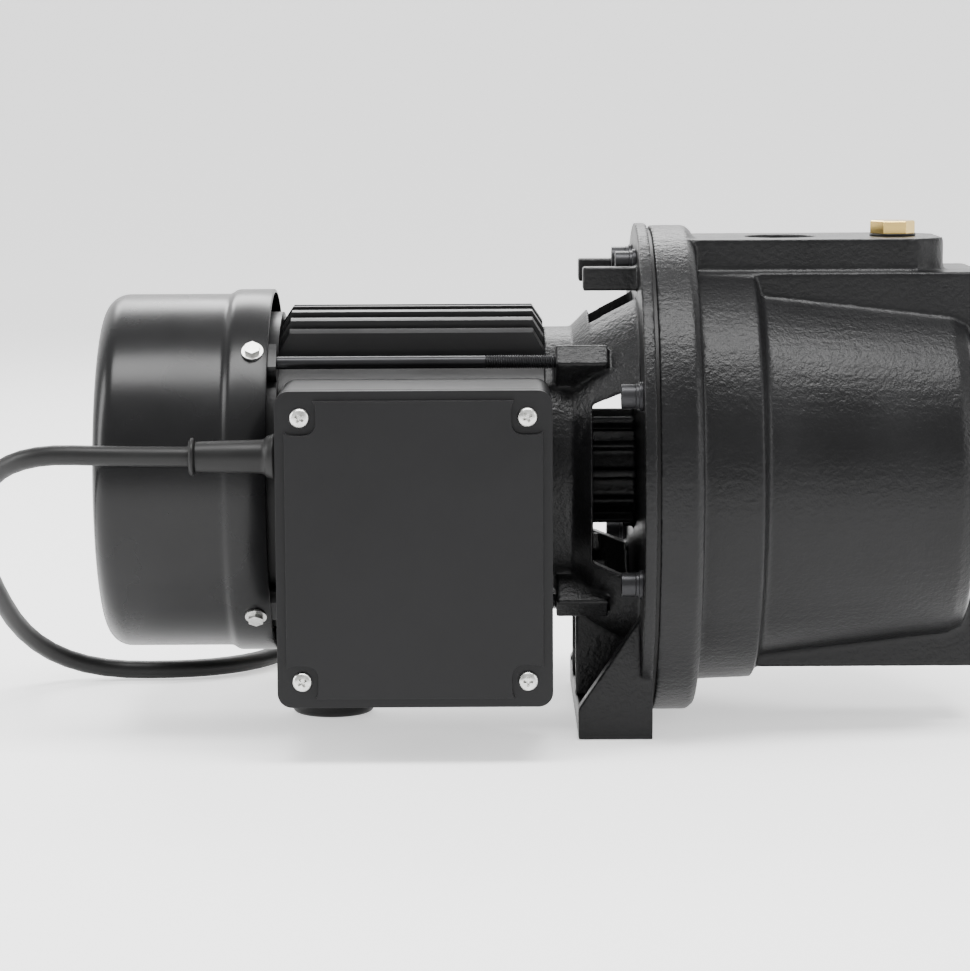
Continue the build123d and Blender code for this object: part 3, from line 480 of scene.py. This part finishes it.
outside = [(COVER_BACK, 0.0005), (COVER_BACK, 0.03)]
outside += arc(COVER_BACK + CORNER, COVER_R - CORNER, CORNER, 180, 90, 12)
outside += [(COVER_BACK + 0.03, COVER_R), (STEP - 0.004, COVER_R), (STEP - 0.0028, COVER_R + 0.0001)]
outside += [(STEP - 0.0016, COVER_R + 0.0007), (STEP - 0.0006, COVER_R + 0.0014)]
outside += [(STEP + 0.0006, LIP_R - 0.0001)]
outside += [(STEP + 0.0018, LIP_R), (COVER_FRONT - 0.0004, LIP_R)]
inside = [(COVER_FRONT, LIP_R - 0.0004), (COVER_FRONT, LIP_R - SHEET)]
inside += [(STEP + 0.001, LIP_R - SHEET), (STEP - 0.003, COVER_R - SHEET)]
inside += arc(COVER_BACK + CORNER, COVER_R - CORNER, CORNER - SHEET, 90, 180, 8)
inside += [(COVER_BACK + SHEET, 0.0005)]
cover = add("v_fan_cover", lathe("v_fan_cover", outside + inside, steps=160), "fan_cover")
SLOT_HALF = 0.0021
SLOT_ROWS = ((0.022, 12, 0.012), (0.040, 24, 0.014), (0.057, 32, 0.012))  # circle radius, slots, length
slots = bmesh.new()
for radius, count, length in SLOT_ROWS:
    for k in range(count):
        a = math.tau * k / count
        ends = []
        outline = arc(length / 2 - SLOT_HALF, 0, SLOT_HALF, -90, 90, 6)
        outline += arc(-length / 2 + SLOT_HALF, 0, SLOT_HALF, 90, 270, 6)
        for x in (COVER_BACK - 0.001, COVER_BACK + 0.003):
            ring = []
            for u, v in outline:
                y, z = radius + u, v
                turned = (y * math.cos(a) - z * math.sin(a), AXIS_Z + y * math.sin(a) + z * math.cos(a))
                ring.append(slots.verts.new((x, *turned)))
            ends.append(ring)
        slots.faces.new(ends[0])
        slots.faces.new(list(reversed(ends[1])))
        for j in range(len(outline)):
            n = (j + 1) % len(outline)
            slots.faces.new((ends[0][j], ends[1][j], ends[1][n], ends[0][n]))
bmesh.ops.recalc_face_normals(slots, faces=slots.faces)
cutter_mesh = bpy.data.meshes.new("slots")
slots.to_mesh(cutter_mesh)
slots.free()
cutter = placed("slots", cutter_mesh)
carve(cover, cutter)
smooth(bake(cover), 50)
bpy.data.objects.remove(cutter)

# ---------------------------------------------------------------- lid, its screws
refined("terminal_box_lid", 0.0009, 3)


def phillips(name, radius, height, places, away, node):
    """Pan heads with crossed recesses, at places, facing away."""
    rim, flat = 0.35, 0.32
    profile = [(0, radius), (height * rim, radius)]
    for t in range(1, 9):
        a = t * math.pi / 16
        profile.append((height * (rim + (1 - rim) * math.sin(a)), radius * (flat + (1 - flat) * math.cos(a))))
    profile += [(height, 0.0001)]
    dome = lathe(name, profile, base=(0, 0, 0), steps=40)
    head = placed(name, dome)
    arms = []
    for quarter in (0, math.pi / 2):
        bm = bmesh.new()
        bmesh.ops.create_cube(bm, size=1.0)
        for v in bm.verts:
            deep = v.co.x < 0
            v.co = Vector(
                (
                    height * (0.3 if deep else 1.4),
                    v.co.y * radius * (0.5 if deep else 1.35),
                    v.co.z * radius * (0.2 if deep else 0.3),
                )
            )
        bm.transform(Matrix.Rotation(quarter + 0.35, 4, "X"))
        mesh = bpy.data.meshes.new("arm")
        bm.to_mesh(mesh)
        bm.free()
        arm = placed("arm", mesh)
        arms.append(arm)
        carve(head, arm)
    one = bake(head)
    for arm in arms:
        bpy.data.objects.remove(arm)
    bpy.data.objects.remove(head)
    bm = bmesh.new()
    to_way = Vector((1, 0, 0)).rotation_difference(Vector(away)).to_matrix().to_4x4()
    for k, place in enumerate(places):
        part = one.copy()
        part.transform(Matrix.Translation(place) @ to_way @ Matrix.Rotation(0.5 * k + 0.2, 4, "X"))
        bm.from_mesh(part)
    mesh = bpy.data.meshes.new(name)
    bm.to_mesh(mesh)
    bm.free()
    smooth(mesh, 40)
    add(name, mesh, node)


low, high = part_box("lid_screws")
SCREW_R, SCREW_H = 0.004, 0.0024
corners = [
    (x, low[1] + SCREW_H, z)
    for x in (low[0] + SCREW_R, high[0] - SCREW_R)
    for z in (low[2] + SCREW_R, high[2] - SCREW_R)
]
phillips("v_lid_screws", SCREW_R, SCREW_H, corners, (0, -1, 0), "lid_screws")

# ---------------------------------------------------------------- tie rods
low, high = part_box("tie_rods")
HEAD_R, HEAD_LEN, HEAD_EDGE = 0.005, 0.004, 0.0004
ROD_AT = high[1] - HEAD_R
ROD_R = 0.002675
THREAD_FROM, THREAD_CORE, THREAD_CREST, THREAD_PITCH = -0.054, 0.00245, 0.003, 0.001
rods = bmesh.new()
for side_y in (-1, 1):
    for side_z in (-1, 1):
        base = (0, side_y * ROD_AT, AXIS_Z + side_z * ROD_AT)
        shank = [(low[0], 0.0), (low[0], HEAD_R - HEAD_EDGE)]
        shank += [(low[0] + HEAD_EDGE, HEAD_R), (low[0] + HEAD_LEN, HEAD_R)]
        shank += [(low[0] + HEAD_LEN, ROD_R), (THREAD_FROM, ROD_R), (THREAD_FROM, 0.0)]
        rods.from_mesh(lathe("rod", shank, base, steps=32))
        sizes = (THREAD_CORE, THREAD_CREST, THREAD_PITCH)
        rods.from_mesh(thread("thread", THREAD_FROM, high[0], *sizes, base, steps=24))
mesh = bpy.data.meshes.new("v_tie_rods")
rods.to_mesh(mesh)
rods.free()
smooth(mesh, 40)
add("v_tie_rods", mesh, "tie_rods")

# ---------------------------------------------------------------- strain relief
low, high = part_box("strain_relief")
sy, sz = (low[1] + high[1]) / 2, (low[2] + high[2]) / 2
front, wall = low[0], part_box("terminal_box")[0][0]
profile = [(front, 0.0042), (front, 0.0068)]
profile += arc(front + 0.0013, 0.0068, 0.0011, 180, 0, 8)
profile += [(front + 0.0028, 0.0062), (front + 0.006, 0.0064)]
profile += [(front + 0.016, 0.0067), (front + 0.026, 0.0069)]
profile += arc(wall - 0.0072, 0.0098, 0.0028, -90, -30, 5)
profile += [(wall - 0.0034, 0.0088)]
profile += arc(wall - 0.0020, 0.0086, 0.0008, 120, 40, 4)
profile += [(wall - 0.0008, 0.0090), (wall - 0.0002, 0.0088), (wall, 0.0084)]
profile += [(wall, 0.007), (high[0], 0.007), (high[0], 0.0042)]
sleeve = add("v_strain_relief", lathe("v_strain_relief", profile, (0, sy, sz), steps=64), "strain_relief")
smooth(sleeve.data, 50)

# ---------------------------------------------------------------- threaded ports
def port(name, mouth, way, depth, radius):
    """The thread inside a port: a piece of its own, seated on the bore's wall."""
    turn = Vector((1, 0, 0)).rotation_difference(Vector(way)).to_matrix().to_4x4()
    chamfer, pitch = 0.0012, 0.0021
    root, crest = radius + 0.0001, radius - 0.0011
    mesh = thread(name, -depth, -chamfer, root, crest, pitch, mouth, turn, steps=72, per_turn=8)
    mesh.flip_normals()
    thing = placed(name, mesh)
    mesh.materials.append(MATERIALS["painted_iron"])
    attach(thing, "pump")


for mount in frame["record"]["mounts"]:
    if mount["name"] in ("discharge_port", "suction_port"):
        port(
            "v_" + mount["name"],
            mount["pos_m"],
            mount["axis"],
            mount["dims"]["length_mm"] * MM,
            mount["dims"]["r_mm"] * MM,
        )

# ---------------------------------------------------------------- castings
cast("pump_casing", 0.0011, 3, ((110, 0.00003), (330, 0.00006)))
cast("motor_bracket", 0.0008, 4, ((180, 0.00005), (330, 0.00005)))
